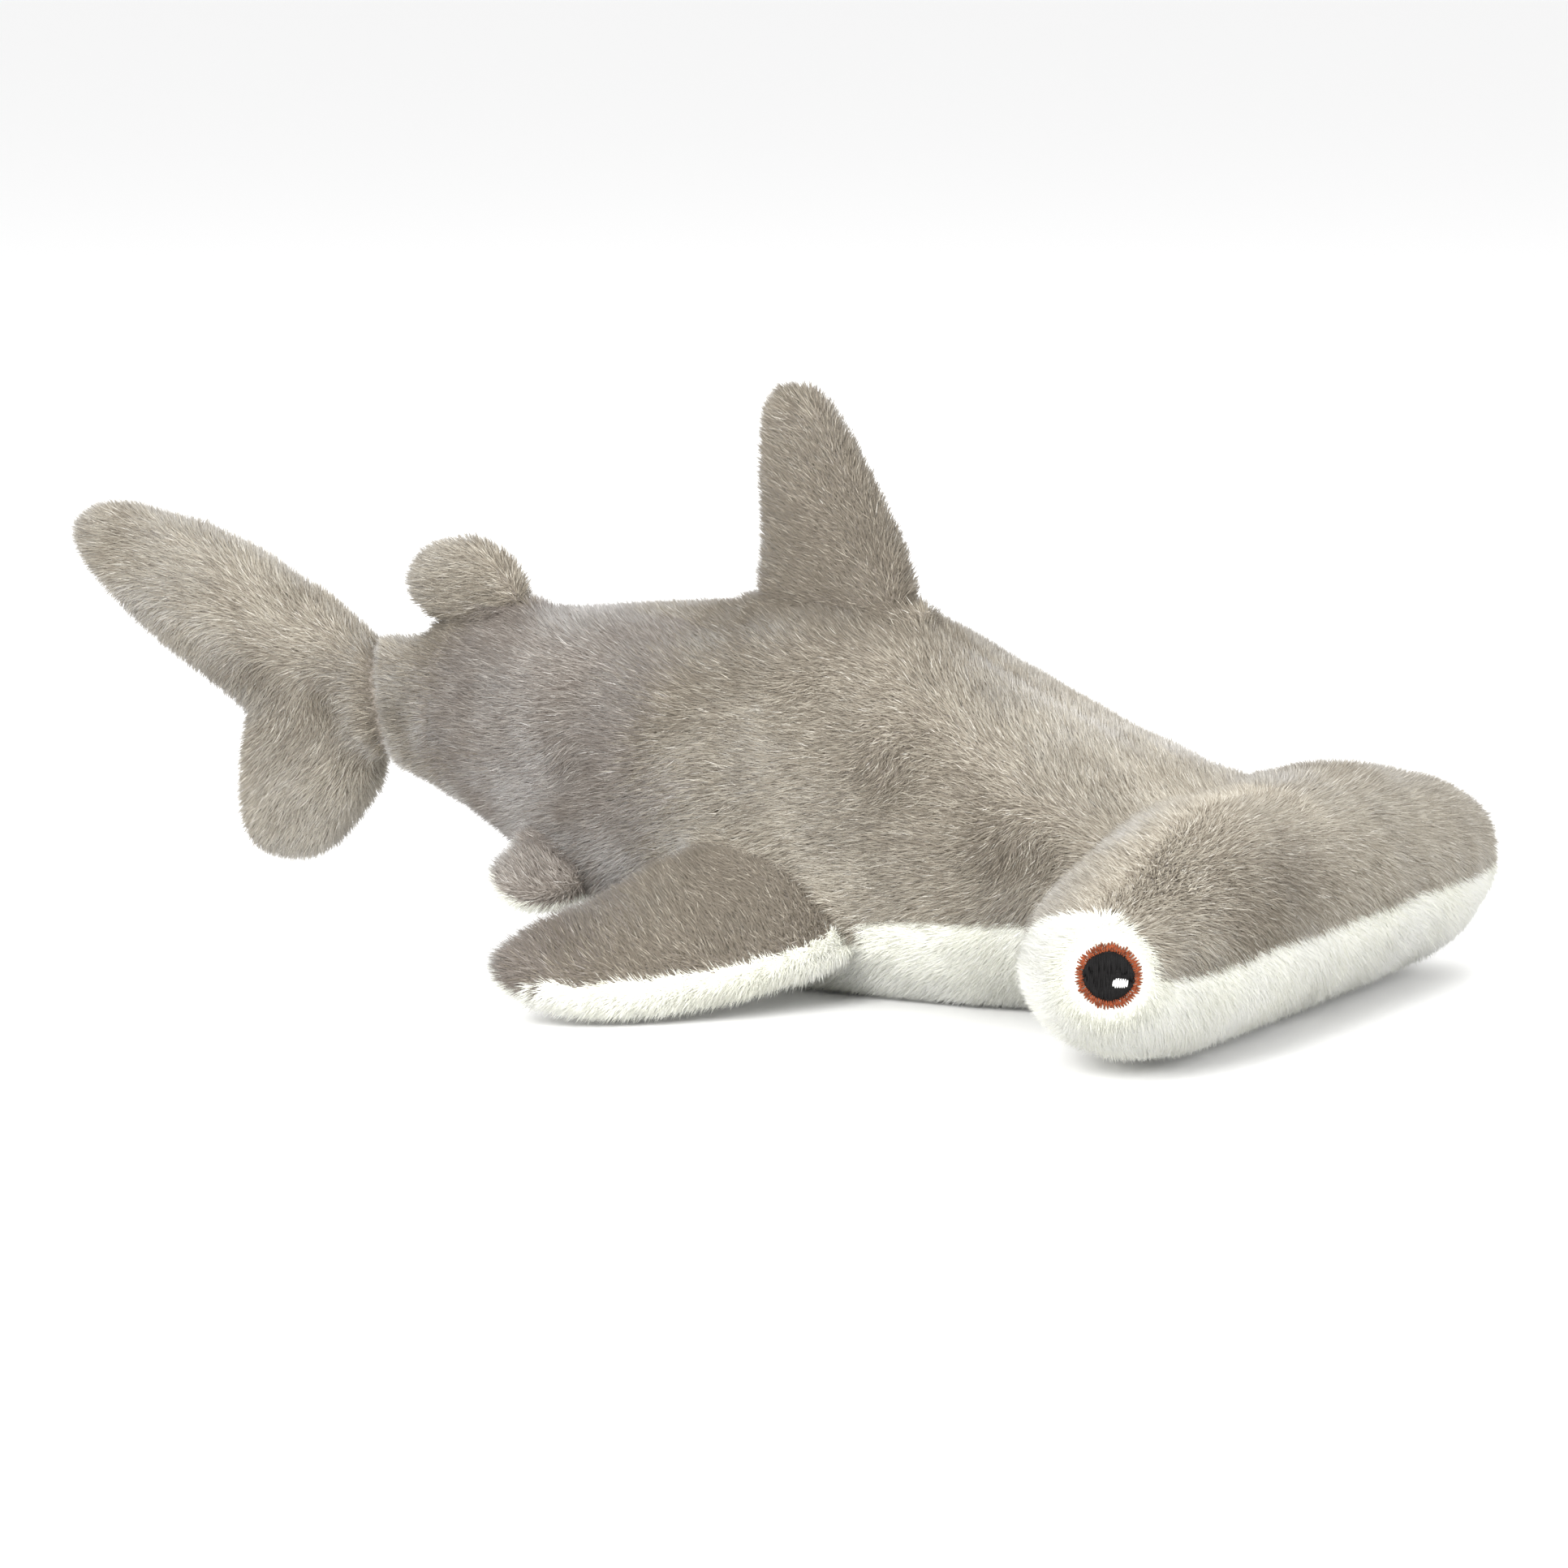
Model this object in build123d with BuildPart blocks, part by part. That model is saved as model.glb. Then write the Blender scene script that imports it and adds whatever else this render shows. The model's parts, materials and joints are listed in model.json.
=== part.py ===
"""Plush hammerhead shark: fabric skins over stuffing, with fins and tail that bend at their seams.

Millimetres. +X points to the head, +Y to the shark's left and +Z up. The origin is on the surface that
the belly rests on, at the middle of the length. Every soft part is a thin skin, cut into the panels that
are sewn together, around a solid of stuffing. The skin is the fabric's backing: the pile stands on it.
"""

from build123d import *

import os
from math import cos, hypot, radians, sin, tan

os.makedirs("parts", exist_ok=True)

# ---------------------------------------------------------------- driving dimensions
SKIN = 1.2  # thickness of the fabric's backing and the base of its pile
CLEAR = 0.7  # running gap round each sewn hinge
ROOT_TURNS = (78, 60, 40, 20)  # degrees below the root plane of the sections that round a fin's root
REACH = 400.0  # larger than the shark, for cutting solids

# Torso and tail stock: (x, lowest z, highest z, half width) of its oval sections, tail to head.
TRUNK = [
    (-87.0, 40.5, 67.0, 9.5),
    (-67.0, 37.0, 70.0, 15.0),
    (-51.0, 31.0, 74.5, 21.0),
    (-33.0, 21.0, 78.0, 27.0),
    (-8.0, 5.5, 80.5, 34.0),
    (21.0, -4.0, 83.0, 39.0),
    (44.0, -6.0, 84.5, 41.5),
    (65.0, -6.0, 81.2, 42.0),
    (87.0, -4.5, 70.2, 41.5),
    (107.0, -1.0, 61.4, 40.0),
    (127.0, 3.0, 54.0, 37.0),
    (146.0, 7.0, 47.0, 30.0),
]

# Hammer: (distance from the middle, middle x, half chord, lowest z, highest z) of its oval sections.
HAMMER = [
    (0.0, 149.5, 22.5, 2.6, 50.5),
    (34.0, 148.5, 24.0, 2.6, 51.5),
    (60.0, 149.8, 22.4, 3.4, 46.5),
    (76.0, 150.0, 18.8, 5.6, 43.0),
    (86.0, 150.0, 13.4, 9.5, 39.0),
    (92.0, 150.0, 6.4, 17.0, 32.0),
    (93.6, 150.0, 1.8, 22.0, 26.5),
]

# Side seam between the grey back and the white belly, as (x, z), and between the hammer's grey
# top and white underside, as (distance from the middle, z).
BELLY_SEAM = [
    (-31.0, 15.0),
    (-11.0, 14.0),
    (19.0, 17.0),
    (49.0, 19.5),
    (79.0, 20.5),
    (109.0, 23.5),
    (149.0, 27.0),
]
HAMMER_SEAM = [(0.0, 31.5), (45.0, 30.5), (75.0, 27.0), (100.0, 24.0)]

# Embroidered eye on each end of the hammer.
EYE_FORWARD = 19.5  # degrees that the eye looks forward of straight out
EYE_END = (150.0, 72.0)  # x and y of the centre of the hammer's rounded end
EYE_OUT = 21.4  # from that centre to the face of the eye
EYE_Z = 25.5
EYE_THICK = 1.6
IRIS_RADIUS = 6.8
PUPIL_RADIUS = 5.1
HIGHLIGHT_LONG = 1.6
HIGHLIGHT_TALL = 1.1
HIGHLIGHT_FORWARD = 2.3
HIGHLIGHT_DROP = 1.4
PATCH_RADIUS = 11.4  # white fabric that rises round the eye
PATCH_BACK = 3.0  # from the eye's centre to the patch's

# Tail bend: an upright axis where the stuffed tail folds from side to side.
BEND_X = -33.0
BEND_HALF = 18.0  # degrees each way
BEND_HALF_GAP = 0.4

# Tail fin crease: the seam between the tail stock and the tail fin, and the axis the fin sways on.
CREASE = (-81.0, 0.0, 54.0)
CREASE_LEAN = 10.0  # degrees that the crease leans back
CAUDAL_ROOT = [(0.0, 0.0, 27.0, 21.0), (6.0, 0.5, 26.0, 20.4)]  # sections like those of the fins below
CREASE_EAR = 3.6  # the tail stock stops this far in front of the axis

# Tail fin lobes: each section runs from one edge point to the other, as (x, z), (x, z), thickness.
UPPER_LOBE = [
    ((-83.0, 66.0), (-80.5, 41.0), 20.0),
    ((-99.0, 78.3), (-112.0, 44.0), 20.0),
    ((-118.0, 87.8), (-130.0, 55.2), 19.0),
    ((-137.0, 94.0), (-147.0, 64.3), 16.5),
    ((-153.0, 97.5), (-160.5, 74.0), 13.5),
    ((-164.5, 97.0), (-169.5, 81.5), 10.0),
    ((-170.5, 93.5), (-172.5, 87.0), 4.0),
]
LOWER_LOBE = [
    ((-82.0, 42.0), (-108.0, 63.0), 20.0),
    ((-83.5, 33.0), (-121.0, 46.5), 19.0),
    ((-89.0, 25.5), (-123.0, 32.0), 16.5),
    ((-96.0, 18.0), (-122.5, 21.0), 12.5),
    ((-102.5, 14.4), (-119.5, 15.6), 7.0),
]

# Fins stand on a hinge line. Each section is (distance out from the line, shift forward along it,
# chord, thickness), and the first section is the sewn root.
DORSAL_ROOT = (42.0, 0.0, 85.0)
DORSAL = [
    (0.0, 0.0, 39.0, 15.0),
    (12.0, -1.2, 35.0, 14.0),
    (25.0, -4.8, 28.5, 12.5),
    (37.0, -8.2, 22.0, 10.5),
    (44.0, -10.2, 17.0, 8.0),
    (48.3, -10.8, 10.5, 4.2),
]

SECOND_DORSAL_ROOT = (-52.0, 0.0, 76.6)
SECOND_DORSAL_LEAN = 13.5  # degrees that its root line falls towards the tail
SECOND_DORSAL = [
    (0.0, 0.0, 23.0, 10.5),
    (6.0, -4.0, 30.0, 11.0),
    (11.5, -5.8, 29.0, 10.0),
    (16.2, -6.2, 21.5, 7.0),
    (18.6, -6.2, 10.5, 3.2),
]

PECTORAL_ROOT = (50.0, 40.2, 23.6)
PECTORAL_FRONT = (0.912, -0.122, -0.390)  # along the root towards the head, on the left side
PECTORAL_TIP = (10.0, 93.0, 9.5)
PECTORAL = [
    (0.0, 0.0, 41.0, 15.0),
    (14.0, -5.8, 42.5, 15.5),
    (29.0, -13.8, 39.5, 14.5),
    (42.0, -22.8, 34.0, 13.0),
    (52.0, -30.2, 25.0, 9.5),
    (56.2, -33.4, 13.0, 4.8),
]

PELVIC_ROOT = (-15.0, 28.6, 23.0)
PELVIC_FRONT = (0.900, -0.080, -0.430)
PELVIC_TIP = (-27.0, 41.5, 19.0)
PELVIC = [
    (0.0, 0.0, 20.0, 9.5),
    (5.0, -1.8, 21.0, 9.5),
    (9.0, -3.4, 18.5, 8.0),
    (12.4, -4.4, 14.0, 5.6),
    (14.2, -4.8, 7.0, 2.8),
]

FAWN_GREY = Color(0.62, 0.58, 0.53)
CREAM = Color(0.92, 0.92, 0.87)
RUST = Color(0.55, 0.25, 0.15)
BLACK = Color(0.05, 0.05, 0.05)
WHITE = Color(0.96, 0.96, 0.96)


# ---------------------------------------------------------------- helpers
def oval_loft(stations, seam_at_y=True):
    """A solid through ovals, each given as (plane, half length along its x, half length along its y).

    The surface's own seam runs along the plane's y ends or x ends, away from where panels are cut.
    """
    with BuildPart() as body:
        for plane, half_x, half_y in stations:
            with BuildSketch(plane):
                if seam_at_y:
                    Ellipse(half_y, half_x, rotation=90)
                else:
                    Ellipse(half_x, half_y)
        loft(ruled=True)
    return body.part


def spheroid(plane, half_length, radius):
    """An oval turned about the plane's x direction, centred on the plane's origin."""
    with BuildPart() as body:
        with BuildSketch(plane):
            Ellipse(half_length, radius)
            with Locations((0, -radius)):
                Rectangle(2 * half_length + 1, 2 * radius, mode=Mode.SUBTRACT)
        revolve(axis=Axis(plane.origin, plane.x_dir))
    return body.part


def slab(plane, outline, half_depth=REACH):
    """A closed outline pushed out both ways from its plane."""
    with BuildPart() as body:
        with BuildSketch(plane):
            with BuildLine():
                Polyline(*outline, close=True)
            make_face()
        extrude(amount=half_depth, both=True)
    return body.part


def trunk(inset):
    """Torso and tail stock, drawn in by the inset, flat where the belly rests."""
    stations = []
    for x, low, high, half_width in TRUNK:
        plane = Plane(origin=(x, 0, (low + high) / 2), x_dir=(0, 1, 0), z_dir=(1, 0, 0))
        stations.append((plane, half_width - inset, (high - low) / 2 - inset))
    with BuildPart() as body:
        add(oval_loft(stations, seam_at_y=False))
        with Locations((0, 0, inset - REACH / 2)):
            Box(2 * REACH, 2 * REACH, REACH, mode=Mode.SUBTRACT)
    return body.part


def hammer(inset):
    """The head's cross bar, drawn in by the inset."""
    ends = [(-y, *section) for y, *section in reversed(HAMMER[1:])]
    stations = []
    for y, middle_x, half_chord, low, high in ends + HAMMER:
        y_in = y * (HAMMER[-1][0] - inset) / HAMMER[-1][0]
        half_height = (high - low) / 2
        shrink = 1 - inset / max(half_chord, half_height)
        plane = Plane(origin=(middle_x, y_in, (low + high) / 2), x_dir=(1, 0, 0), z_dir=(0, 1, 0))
        if half_chord > 5 * inset:
            stations.append((plane, half_chord - inset, half_height - inset))
        else:
            stations.append((plane, half_chord * shrink, half_height * shrink))
    return oval_loft(stations)


def fin(plane, sections, inset):
    """A fin on its root plane: x runs along the root, y through the thickness and z outwards.

    Below the root plane it is rounded about the root line, so that it turns in its socket.
    """
    reach = sections[-1][0]
    root_length, root_thick = sections[0][2] / 2 - inset, sections[0][3] / 2 - inset
    stations = []
    for turn in ROOT_TURNS:
        station = plane.offset(-root_thick * sin(radians(turn)))
        stations.append((station, root_length * cos(radians(turn)), root_thick * cos(radians(turn))))
    for out, shift, chord, thick in sections:
        origin = plane.from_local_coords((shift, 0, out * (reach - inset) / reach))
        station = Plane(origin=origin, x_dir=plane.x_dir, z_dir=plane.z_dir)
        draw_in = min(inset, 0.3 * thick)
        stations.append((station, chord / 2 - draw_in, thick / 2 - draw_in))
    return oval_loft(stations)


def socket(plane, sections):
    """The room that the fin's root turns in."""
    return spheroid(plane, sections[0][2] / 2 + CLEAR, sections[0][3] / 2 + CLEAR)


def lobe(sections, inset):
    """One lobe of the tail fin, drawn in by the inset."""
    stations = []
    for number, (front, rear, thick) in enumerate(sections):
        run, rise = front[0] - rear[0], front[1] - rear[1]
        middle = ((front[0] + rear[0]) / 2, 0, (front[1] + rear[1]) / 2)
        across = Vector(run, 0, rise).normalized()
        plane = Plane(origin=middle, x_dir=across, z_dir=across.cross(Vector(0, 1, 0)))
        draw_in = min(inset, 0.3 * thick)
        stations.append((plane, hypot(run, rise) / 2 - draw_in, thick / 2 - draw_in))
    return oval_loft(stations)


def side_plane(root, front, tip, side):
    """Root plane of a paired fin: side is +1 for the left fin and -1 for the right one."""
    origin = Vector(root[0], side * root[1], root[2])
    along = Vector(front[0], side * front[1], front[2]).normalized()
    outward = Vector(tip[0], side * tip[1], tip[2]) - origin
    outward = (outward - along * outward.dot(along)).normalized()
    return Plane(origin=origin, x_dir=along, z_dir=outward)


def write(node, name, tint):
    """Names a finished piece and writes it to its own file."""
    node.part.label = name
    node.part.color = tint
    export_step(node.part, f"parts/{name}.step")


# ---------------------------------------------------------------- planes and cutting regions
dorsal_plane = Plane(origin=DORSAL_ROOT, x_dir=(1, 0, 0), z_dir=(0, 0, 1))
lean = radians(SECOND_DORSAL_LEAN)
second_dorsal_plane = Plane(
    origin=SECOND_DORSAL_ROOT,
    x_dir=(cos(lean), 0, sin(lean)),
    z_dir=(-sin(lean), 0, cos(lean)),
)
tilt = radians(CREASE_LEAN)
crease_axis = Vector(-sin(tilt), 0, cos(tilt))
crease_plane = Plane(origin=CREASE, x_dir=crease_axis, z_dir=(-cos(tilt), 0, -sin(tilt)))
pectoral_planes = {"left": side_plane(PECTORAL_ROOT, PECTORAL_FRONT, PECTORAL_TIP, 1)}
pectoral_planes["right"] = side_plane(PECTORAL_ROOT, PECTORAL_FRONT, PECTORAL_TIP, -1)
pelvic_planes = {"left": side_plane(PELVIC_ROOT, PELVIC_FRONT, PELVIC_TIP, 1)}
pelvic_planes["right"] = side_plane(PELVIC_ROOT, PELVIC_FRONT, PELVIC_TIP, -1)

half_fold = tan(radians(BEND_HALF / 2)) * REACH
front_region = slab(
    Plane.XY,
    [
        (BEND_X + BEND_HALF_GAP, 0),
        (BEND_X + BEND_HALF_GAP + half_fold, REACH),
        (REACH, REACH),
        (REACH, -REACH),
        (BEND_X + BEND_HALF_GAP + half_fold, -REACH),
    ],
)
rear_region = slab(
    Plane.XY,
    [
        (BEND_X - BEND_HALF_GAP, 0),
        (BEND_X - BEND_HALF_GAP - half_fold, REACH),
        (-REACH, REACH),
        (-REACH, -REACH),
        (BEND_X - BEND_HALF_GAP - half_fold, -REACH),
    ],
)
# Plane.XZ's y runs up and Plane.YZ's x runs to the left side.
belly_corners = [(-REACH, -REACH), (-REACH, BELLY_SEAM[0][1])]
belly_region = slab(Plane.XZ, [*belly_corners, *BELLY_SEAM, (BELLY_SEAM[-1][0], -REACH)])
seam_across = [(-y, z) for y, z in reversed(HAMMER_SEAM[1:])] + HAMMER_SEAM
under_region = slab(Plane.YZ, [(seam_across[0][0], -REACH), *seam_across, (seam_across[-1][0], -REACH)])

eye_planes = {}
for side_name, side in (("left", 1), ("right", -1)):
    look = Vector(sin(radians(EYE_FORWARD)), side * cos(radians(EYE_FORWARD)), 0)
    centre = Vector(EYE_END[0], side * EYE_END[1], EYE_Z) + look * EYE_OUT
    eye_planes[side_name] = Plane(origin=centre, x_dir=Vector(0, 0, 1).cross(look), z_dir=look)

crease_ears = Plane(origin=CREASE, x_dir=(0, 1, 0), z_dir=crease_plane.z_dir).offset(-CREASE_EAR)

# ---------------------------------------------------------------- trunk and hammer forms
trunk_outer = trunk(0)
trunk_inner = trunk(SKIN)
hammer_outer = hammer(0)
hammer_inner = hammer(SKIN)

with BuildPart() as body_hollow:
    add(trunk_inner)
    add(hammer_inner)

with BuildPart() as torso_sockets:
    add(socket(dorsal_plane, DORSAL))
    for side_name in ("left", "right"):
        add(socket(pectoral_planes[side_name], PECTORAL))
        add(socket(pelvic_planes[side_name], PELVIC))

with BuildPart() as tail_sockets:
    add(socket(second_dorsal_plane, SECOND_DORSAL))
    add(socket(crease_plane, CAUDAL_ROOT))
    with BuildSketch(crease_ears):
        Rectangle(REACH, REACH)
    extrude(amount=REACH)

# ---------------------------------------------------------------- torso: skin panels
with BuildPart() as torso_skin:
    add(trunk_outer)
    add(body_hollow.part, mode=Mode.SUBTRACT)
    add(hammer_outer, mode=Mode.SUBTRACT)
    add(torso_sockets.part, mode=Mode.SUBTRACT)
    add(front_region, mode=Mode.INTERSECT)

with BuildPart() as belly_panel:
    add(torso_skin.part)
    add(belly_region, mode=Mode.INTERSECT)
write(belly_panel, "belly_panel", CREAM)

for side_name, keep in (("left", Keep.BOTTOM), ("right", Keep.TOP)):
    with BuildPart() as back_panel:
        add(torso_skin.part)
        add(belly_region, mode=Mode.SUBTRACT)
        split(bisect_by=Plane.XZ, keep=keep)
    write(back_panel, f"back_panel_{side_name}", FAWN_GREY)

# ---------------------------------------------------------------- hammer: skin panels
with BuildPart() as eye_recesses:
    for plane in eye_planes.values():
        with BuildSketch(plane.offset(-EYE_THICK)):
            Circle(IRIS_RADIUS)
        extrude(amount=2 * EYE_THICK)

with BuildPart() as eye_patches:
    for side_name, plane in eye_planes.items():
        back = PATCH_BACK * (1 if side_name == "left" else -1)
        with BuildSketch(plane.offset(-2 * PATCH_RADIUS / 3)):
            with Locations((back, 0)):
                Circle(PATCH_RADIUS)
        extrude(amount=PATCH_RADIUS)

with BuildPart() as hammer_skin:
    add(hammer_outer)
    add(body_hollow.part, mode=Mode.SUBTRACT)
    add(eye_recesses.part, mode=Mode.SUBTRACT)

with BuildPart() as white_region:
    add(under_region)
    add(eye_patches.part)

with BuildPart() as hammer_top_panel:
    add(hammer_skin.part)
    add(white_region.part, mode=Mode.SUBTRACT)
write(hammer_top_panel, "hammer_top_panel", FAWN_GREY)

with BuildPart() as hammer_under_panel:
    add(hammer_skin.part)
    add(white_region.part, mode=Mode.INTERSECT)
write(hammer_under_panel, "hammer_under_panel", CREAM)

# ---------------------------------------------------------------- eyes
for side_name, plane in eye_planes.items():
    forward = HIGHLIGHT_FORWARD * (-1 if side_name == "left" else 1)
    with BuildPart() as eye_highlight:
        with BuildSketch(plane.offset(-EYE_THICK / 2)):
            with Locations((forward, -HIGHLIGHT_DROP)):
                Ellipse(HIGHLIGHT_LONG, HIGHLIGHT_TALL)
        extrude(amount=EYE_THICK / 2)
    write(eye_highlight, f"eye_highlight_{side_name}", WHITE)

    with BuildPart() as eye_pupil:
        with BuildSketch(plane.offset(-EYE_THICK)):
            Circle(PUPIL_RADIUS)
        extrude(amount=EYE_THICK)
        add(eye_highlight.part, mode=Mode.SUBTRACT)
    write(eye_pupil, f"eye_pupil_{side_name}", BLACK)

    with BuildPart() as eye_iris:
        with BuildSketch(plane.offset(-EYE_THICK)):
            Circle(IRIS_RADIUS)
            Circle(PUPIL_RADIUS, mode=Mode.SUBTRACT)
        extrude(amount=EYE_THICK)
    write(eye_iris, f"eye_iris_{side_name}", RUST)

# ---------------------------------------------------------------- stuffing of the torso and hammer
with BuildPart() as body_stuffing:
    add(body_hollow.part)
    add(torso_sockets.part, mode=Mode.SUBTRACT)
    add(eye_recesses.part, mode=Mode.SUBTRACT)
    add(front_region, mode=Mode.INTERSECT)
write(body_stuffing, "body_stuffing", WHITE)

# ---------------------------------------------------------------- tail stock
for side_name, keep in (("left", Keep.BOTTOM), ("right", Keep.TOP)):
    with BuildPart() as tail_panel:
        add(trunk_outer)
        add(trunk_inner, mode=Mode.SUBTRACT)
        add(tail_sockets.part, mode=Mode.SUBTRACT)
        add(rear_region, mode=Mode.INTERSECT)
        split(bisect_by=Plane.XZ, keep=keep)
    write(tail_panel, f"tail_panel_{side_name}", FAWN_GREY)

with BuildPart() as tail_stuffing:
    add(trunk_inner)
    add(tail_sockets.part, mode=Mode.SUBTRACT)
    add(rear_region, mode=Mode.INTERSECT)
write(tail_stuffing, "tail_stuffing", WHITE)


# ---------------------------------------------------------------- tail fin
def tail_fin(inset):
    """Both lobes and the rounded root that sways in the tail stock."""
    with BuildPart() as body:
        add(lobe(UPPER_LOBE, inset))
        add(lobe(LOWER_LOBE, inset))
        add(fin(crease_plane, CAUDAL_ROOT, inset))
    return body.part


caudal_outer = tail_fin(0)
caudal_inner = tail_fin(SKIN)

for side_name, keep in (("left", Keep.BOTTOM), ("right", Keep.TOP)):
    with BuildPart() as caudal_panel:
        add(caudal_outer)
        add(caudal_inner, mode=Mode.SUBTRACT)
        split(bisect_by=Plane.XZ, keep=keep)
    write(caudal_panel, f"caudal_panel_{side_name}", FAWN_GREY)

with BuildPart() as caudal_stuffing:
    add(caudal_inner)
write(caudal_stuffing, "caudal_stuffing", WHITE)

# ---------------------------------------------------------------- dorsal fins
for name, plane, sections in (
    ("dorsal", dorsal_plane, DORSAL),
    ("second_dorsal", second_dorsal_plane, SECOND_DORSAL),
):
    fin_outer = fin(plane, sections, 0)
    fin_inner = fin(plane, sections, SKIN)
    for side_name, keep in (("left", Keep.BOTTOM), ("right", Keep.TOP)):
        with BuildPart() as fin_panel:
            add(fin_outer)
            add(fin_inner, mode=Mode.SUBTRACT)
            split(bisect_by=Plane.XZ, keep=keep)
        write(fin_panel, f"{name}_panel_{side_name}", FAWN_GREY)
    with BuildPart() as fin_stuffing:
        add(fin_inner)
    write(fin_stuffing, f"{name}_stuffing", WHITE)

# ---------------------------------------------------------------- paired fins, grey above and white below
for name, planes, sections in (("pectoral", pectoral_planes, PECTORAL), ("pelvic", pelvic_planes, PELVIC)):
    for side_name, plane in planes.items():
        fin_outer = fin(plane, sections, 0)
        fin_inner = fin(plane, sections, SKIN)
        seam_plane = Plane(origin=plane.origin, x_dir=plane.x_dir, z_dir=plane.y_dir)
        up = 1 if plane.y_dir.Z > 0 else -1
        for face_name, tint, keep in (
            ("top", FAWN_GREY, Keep.TOP if up > 0 else Keep.BOTTOM),
            ("under", CREAM, Keep.BOTTOM if up > 0 else Keep.TOP),
        ):
            with BuildPart() as fin_panel:
                add(fin_outer)
                add(fin_inner, mode=Mode.SUBTRACT)
                split(bisect_by=seam_plane, keep=keep)
            write(fin_panel, f"{name}_{face_name}_{side_name}", tint)
        with BuildPart() as fin_stuffing:
            add(fin_inner)
        write(fin_stuffing, f"{name}_stuffing_{side_name}", WHITE)
        print(name, side_name, "hinge at", plane.origin, "along", plane.x_dir)
print("crease axis", crease_axis, "second dorsal axis", second_dorsal_plane.x_dir)
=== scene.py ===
import json
import math
from collections import namedtuple

import bmesh
import bpy
import numpy as np
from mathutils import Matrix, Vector
from mathutils.bvhtree import BVHTree
from mathutils.kdtree import KDTree

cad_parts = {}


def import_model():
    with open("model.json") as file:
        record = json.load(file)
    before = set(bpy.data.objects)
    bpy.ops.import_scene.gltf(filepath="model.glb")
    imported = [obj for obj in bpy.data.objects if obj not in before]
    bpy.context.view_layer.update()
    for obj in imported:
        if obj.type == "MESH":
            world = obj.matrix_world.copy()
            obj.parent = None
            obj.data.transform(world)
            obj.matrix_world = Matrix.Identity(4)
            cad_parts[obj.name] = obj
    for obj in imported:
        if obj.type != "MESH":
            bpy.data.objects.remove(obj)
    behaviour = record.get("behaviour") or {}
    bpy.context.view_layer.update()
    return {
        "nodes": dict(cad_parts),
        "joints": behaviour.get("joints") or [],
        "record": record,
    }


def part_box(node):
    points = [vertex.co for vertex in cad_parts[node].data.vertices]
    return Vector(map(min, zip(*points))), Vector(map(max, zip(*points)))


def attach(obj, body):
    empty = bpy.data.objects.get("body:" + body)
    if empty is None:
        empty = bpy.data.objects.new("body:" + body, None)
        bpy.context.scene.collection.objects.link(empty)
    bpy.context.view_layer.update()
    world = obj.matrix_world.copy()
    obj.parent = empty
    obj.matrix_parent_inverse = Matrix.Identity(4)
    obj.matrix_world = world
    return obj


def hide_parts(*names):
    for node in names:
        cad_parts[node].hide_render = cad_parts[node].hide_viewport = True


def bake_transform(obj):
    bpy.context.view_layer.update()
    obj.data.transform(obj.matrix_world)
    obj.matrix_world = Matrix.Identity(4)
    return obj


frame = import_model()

MM = 0.001
NODES = frame["nodes"]
BODIES = frame["record"]["behaviour"]["bodies"]
JOINTS = {joint["child"]: joint for joint in frame["joints"]}

# ---------------------------------------------------------------- sizes
SKIN = 1.2 * MM          # the fabric's backing, outside the stuffing
BODY_VOXEL = 1.7 * MM
FIN_VOXEL = 1.2 * MM
BODY_ROUNDS, FIN_ROUNDS = 16, 8  # rounds of smoothing after the remesh
SOCKET_FILL = 2.3 * MM   # how far a root plug reaches past a fin's root, over its clearance
BEND_OVERLAP = 13 * MM   # the torso's and the tail's stuffing this near their joint are joined up
FLOOR_GAP = 0.9 * MM     # height of the belly's skin over the floor, with flattened pile between
SEAM_DEPTH = 1.0 * MM
SEAM_WIDTH = 2.2 * MM
CREASE_DEPTH = 1.9 * MM  # the deep fold between the tail stock and the tail fin
CREASE_WIDTH = 0.8 * SEAM_WIDTH
CREASE_SLANT = 0.4       # how much further ahead the fold is on the flanks, for each metre outwards
FRONT_SAG = 5.5 * MM     # how far the hammer's grey top sags over its front seam, in the middle
HAMMER_HALF = 95 * MM
EYE_BACKING = 0.45 * MM  # depth of the levelled cloth behind the face of an embroidered eye
PATCH_RADIUS = 11.5 * MM  # the white patch behind each eye
PILE_LENGTH = 4.3 * MM
CREAM_LENGTH = 0.92 * PILE_LENGTH
PILE_PER_MM2 = 7.0
STRANDS_PER_PIECE = 63000  # keeps each pile piece's mesh light
TAIL_SPLIT_X = -57 * MM  # the body's covering is two pieces, which meet here on the tail stock

# ---------------------------------------------------------------- places on the shark
BEND = np.array(JOINTS["tail"]["pos_m"], float)
CREASE = np.array(JOINTS["caudal_fin"]["pos_m"], float)
CREASE_AXIS = np.array(JOINTS["caudal_fin"]["axis"], float)
UNDER_CREASE = CREASE + np.array([0.0, 0.0, -14 * MM])
HAMMER_BACK, HAMMER_FRONT = (corner[0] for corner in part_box("hammer_top_panel"))
HAMMER_MIDDLE = (HAMMER_BACK + HAMMER_FRONT) / 2
HAMMER_CREST = HAMMER_BACK + 0.42 * (HAMMER_FRONT - HAMMER_BACK)
EYE_LEVEL = sum(corner[2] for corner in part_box("eye_iris_right")) / 2
UP = np.array([0.0, 0.0, 1.0])

# Each fin and the body that it is sewn to.
FINS = {
    "dorsal_fin": "torso",
    "second_dorsal_fin": "tail",
    "pectoral_fin_left": "torso",
    "pectoral_fin_right": "torso",
    "pelvic_fin_left": "torso",
    "pelvic_fin_right": "torso",
}


# ---------------------------------------------------------------- numpy helpers
def unit(v):
    return v / np.maximum(np.linalg.norm(v, axis=-1, keepdims=True), 1e-12)


def smooth(low, high, value):
    """From 0 to 1 as value goes from low to high, with soft ends."""
    t = np.clip((value - low) / (high - low), 0, 1)
    return t * t * (3 - 2 * t)


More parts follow.
